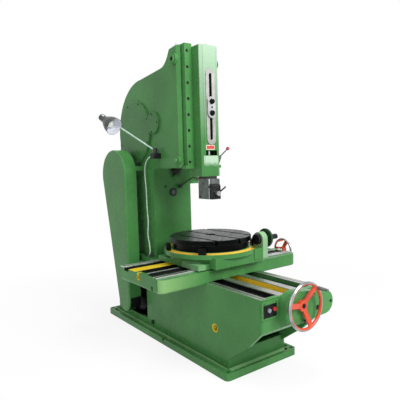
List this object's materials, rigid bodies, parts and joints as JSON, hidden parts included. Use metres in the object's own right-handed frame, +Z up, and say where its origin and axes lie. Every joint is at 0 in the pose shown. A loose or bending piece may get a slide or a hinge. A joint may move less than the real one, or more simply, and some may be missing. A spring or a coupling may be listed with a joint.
{
  "type": "vertical slotting machine",
  "caption": "Vertical slotting machine: tray base, bed and tall column with a tilting ram, crank drive, belt guard, cross saddle, turntable, handwheels and work lamp.",
  "frame": {"origin": "centre of the base tray's footprint, on the floor", "axes": "+Z up, -Y towards the operator, +X to the operator's right"},
  "size_m": [1.1967, 1.775, 1.851],
  "materials": {
    "base_plate": "gloss enamel",
    "bed_casting": "gloss enamel",
    "bed_ways": "ground",
    "column_casting": "gloss enamel",
    "crank_cover": "gloss enamel",
    "oil_cups": "turned",
    "frame_fasteners": "ground",
    "tilt_pins": "ground",
    "shaft_bearings": "gloss enamel",
    "belt_guard": "gloss enamel",
    "main_motor": "enamel",
    "v_belts": "matt",
    "feed_gearbox": "gloss enamel",
    "button_panel": "satin black",
    "oil_sight_glass": "clear",
    "lamp_base": "satin black",
    "cable_gland": "gloss enamel",
    "lamp_cable": "matt",
    "guide_housing": "gloss enamel",
    "keeper_strips": "gloss enamel",
    "keeper_bolts": "oiled machined iron",
    "ram_casting": "gloss enamel",
    "slot_plate": "ground",
    "ram_clamp": "ground",
    "ram_block": "oiled machined iron",
    "ram_screw": "ground",
    "tool_head": "ground",
    "clapper": "satin black",
    "tool_clamp_screw": "ground",
    "ram_lever_rod": "ground",
    "ram_lever_ball": "gloss",
    "clutch_lever_rod": "satin black",
    "clutch_lever_ball": "gloss",
    "saddle_casting": "gloss enamel",
    "cross_ways": "ground",
    "carriage_casting": "gloss enamel",
    "worm_housing": "gloss enamel",
    "table_clamps": "satin black",
    "rotary_table": "oiled machined iron",
    "worm_wheel": "cut",
    "worm_shaft": "ground",
    "index_shaft": "oiled machined iron",
    "index_disc": "gloss enamel",
    "long_handwheel": "orange spokes, bright rim",
    "long_wheel_handle": "satin black",
    "long_feed_screw": "ground",
    "cross_handwheel": "orange spokes, bright rim",
    "cross_feed_screw": "ground",
    "crank_gear": "oiled machined iron",
    "crank_pin": "ground",
    "counter_gear": "oiled machined iron",
    "main_pulley": "oiled machined iron",
    "pinion_shaft": "ground",
    "motor_pulley": "oiled machined iron",
    "rocker_arm": "cast",
    "lamp_arm": "enamel",
    "lamp_shade": "satin black",
    "lamp_bulb": "frosted",
    "start_button": "gloss",
    "stop_button": "gloss"
  },
  "bodies": {
    "frame": {"base_plate": "base_plate", "bed_casting": "bed_casting", "bed_ways": "bed_ways", "column_casting": "column_casting", "crank_cover": "crank_cover", "oil_cups": "oil_cups", "frame_fasteners": "frame_fasteners", "tilt_pins": "tilt_pins", "shaft_bearings": "shaft_bearings", "belt_guard": "belt_guard", "main_motor": "main_motor", "v_belts": "v_belts", "feed_gearbox": "feed_gearbox", "button_panel": "button_panel", "oil_sight_glass": "oil_sight_glass", "lamp_base": "lamp_base", "cable_gland": "cable_gland", "lamp_cable": "lamp_cable"},
    "guide": {"guide_housing": "guide_housing", "keeper_strips": "keeper_strips", "keeper_bolts": "keeper_bolts"},
    "ram": {"ram_casting": "ram_casting", "slot_plate": "slot_plate", "ram_clamp": "ram_clamp", "ram_block": "ram_block", "ram_screw": "ram_screw", "tool_head": "tool_head"},
    "clapper": {"clapper": "clapper", "tool_clamp_screw": "tool_clamp_screw"},
    "ram_lever": {"ram_lever_rod": "ram_lever_rod", "ram_lever_ball": "ram_lever_ball"},
    "clutch_lever": {"clutch_lever_rod": "clutch_lever_rod", "clutch_lever_ball": "clutch_lever_ball"},
    "saddle": {"saddle_casting": "saddle_casting", "cross_ways": "cross_ways"},
    "carriage": {"carriage_casting": "carriage_casting", "worm_housing": "worm_housing", "table_clamps": "table_clamps"},
    "table": {"rotary_table": "rotary_table", "worm_wheel": "worm_wheel"},
    "worm": {"worm_shaft": "worm_shaft"},
    "index": {"index_shaft": "index_shaft", "index_disc": "index_disc"},
    "long_wheel": {"long_handwheel": "long_handwheel", "long_wheel_handle": "long_wheel_handle", "long_feed_screw": "long_feed_screw"},
    "cross_wheel": {"cross_handwheel": "cross_handwheel", "cross_feed_screw": "cross_feed_screw"},
    "crank": {"crank_gear": "crank_gear", "crank_pin": "crank_pin"},
    "counter": {"counter_gear": "counter_gear"},
    "drive": {"main_pulley": "main_pulley", "pinion_shaft": "pinion_shaft"},
    "motor_rotor": {"motor_pulley": "motor_pulley"},
    "rocker": {"rocker_arm": "rocker_arm"},
    "lamp": {"lamp_arm": "lamp_arm"},
    "shade": {"lamp_shade": "lamp_shade", "lamp_bulb": "lamp_bulb"},
    "start_button": {"start_button": "start_button"},
    "stop_button": {"stop_button": "stop_button"}
  },
  "joints": [
    {"name": "guide_tilt", "type": "hinge", "parent": "frame", "child": "guide", "pos_m": [0, -0.138, 1.757], "axis": [-1, 0, 0], "range_deg": [0, 8]},
    {"name": "ram_slide", "type": "slide", "parent": "guide", "child": "ram", "axis": [0, 0, 1], "range_m": [-0.15, 0.04]},
    {"name": "clapper_swing", "type": "hinge", "parent": "ram", "child": "clapper", "pos_m": [-0.007, -0.307, 0.984], "axis": [-1, 0, 0], "range_deg": [0, 12]},
    {"name": "ram_lever_swing", "type": "hinge", "parent": "ram", "child": "ram_lever", "pos_m": [0.076, -0.268, 1.16], "axis": [1, 0, 0], "range_deg": [-20, 20]},
    {"name": "clutch_lever_swing", "type": "hinge", "parent": "frame", "child": "clutch_lever", "pos_m": [0.046, 0.141, 0.976], "axis": [0, 1, 0], "range_deg": [-12, 12]},
    {"name": "saddle_slide", "type": "slide", "parent": "frame", "child": "saddle", "axis": [0, 1, 0], "range_m": [-0.4, 0.1]},
    {"name": "carriage_slide", "type": "slide", "parent": "saddle", "child": "carriage", "axis": [1, 0, 0], "range_m": [-0.25, 0.25]},
    {"name": "table_spin", "type": "hinge", "parent": "carriage", "child": "table", "pos_m": [0, -0.256, 0.616], "axis": [0, 0, 1], "continuous": true},
    {"name": "worm_spin", "type": "hinge", "parent": "carriage", "child": "worm", "pos_m": [0, -0.48, 0.572], "axis": [1, 0, 0], "continuous": true},
    {"name": "index_spin", "type": "hinge", "parent": "carriage", "child": "index", "pos_m": [0, -0.48, 0.66], "axis": [1, 0, 0], "continuous": true},
    {"name": "long_handwheel_spin", "type": "hinge", "parent": "frame", "child": "long_wheel", "pos_m": [0, -1, 0.412], "axis": [0, -1, 0], "continuous": true},
    {"name": "cross_handwheel_spin", "type": "hinge", "parent": "saddle", "child": "cross_wheel", "pos_m": [0.635, -0.268, 0.508], "axis": [1, 0, 0], "continuous": true},
    {"name": "crank_spin", "type": "hinge", "parent": "frame", "child": "crank", "pos_m": [0.05, 0.385, 1.357], "axis": [1, 0, 0], "continuous": true},
    {"name": "counter_spin", "type": "hinge", "parent": "frame", "child": "counter", "pos_m": [0.05, 0.39394, 1.1522], "axis": [1, 0, 0], "continuous": true},
    {"name": "drive_spin", "type": "hinge", "parent": "frame", "child": "drive", "pos_m": [-0.252, 0.464, 1.061], "axis": [1, 0, 0], "continuous": true},
    {"name": "motor_spin", "type": "hinge", "parent": "frame", "child": "motor_rotor", "pos_m": [-0.252, 0.366, 0.19], "axis": [1, 0, 0], "continuous": true},
    {"name": "rocker_swing", "type": "hinge", "parent": "frame", "child": "rocker", "pos_m": [-0.025, 0.144, 1.41], "axis": [1, 0, 0], "range_deg": [-8, 27]},
    {"name": "lamp_arm_swing", "type": "hinge", "parent": "frame", "child": "lamp", "pos_m": [-0.178, 0.075, 1.218], "axis": [0, 0, 1], "range_deg": [-50, 70]},
    {"name": "shade_tilt", "type": "hinge", "parent": "lamp", "child": "shade", "pos_m": [-0.48486, 0.17077, 1.4205], "axis": [-0.9534, -0.3017, 0], "range_deg": [-30, 30]},
    {"name": "start_button_press", "type": "slide", "parent": "frame", "child": "start_button", "axis": [0, 1, 0], "range_m": [0, 0.004], "stiffness_N_per_m": 400},
    {"name": "stop_button_press", "type": "slide", "parent": "frame", "child": "stop_button", "axis": [0, 1, 0], "range_m": [0, 0.004], "stiffness_N_per_m": 400}
  ],
  "couplings": [
    {"joint": "rocker_swing", "follows": "ram_slide", "rad_per_m": -2.994},
    {"joint": "worm_spin", "follows": "table_spin", "ratio": 90},
    {"joint": "index_spin", "follows": "table_spin", "ratio": -90},
    {"joint": "long_handwheel_spin", "follows": "saddle_slide", "rad_per_m": 314.16},
    {"joint": "cross_handwheel_spin", "follows": "carriage_slide", "rad_per_m": 314.16},
    {"joint": "counter_spin", "follows": "crank_spin", "ratio": -4.125},
    {"joint": "drive_spin", "follows": "crank_spin", "ratio": 11.688},
    {"joint": "motor_spin", "follows": "crank_spin", "ratio": 38.958}
  ]
}
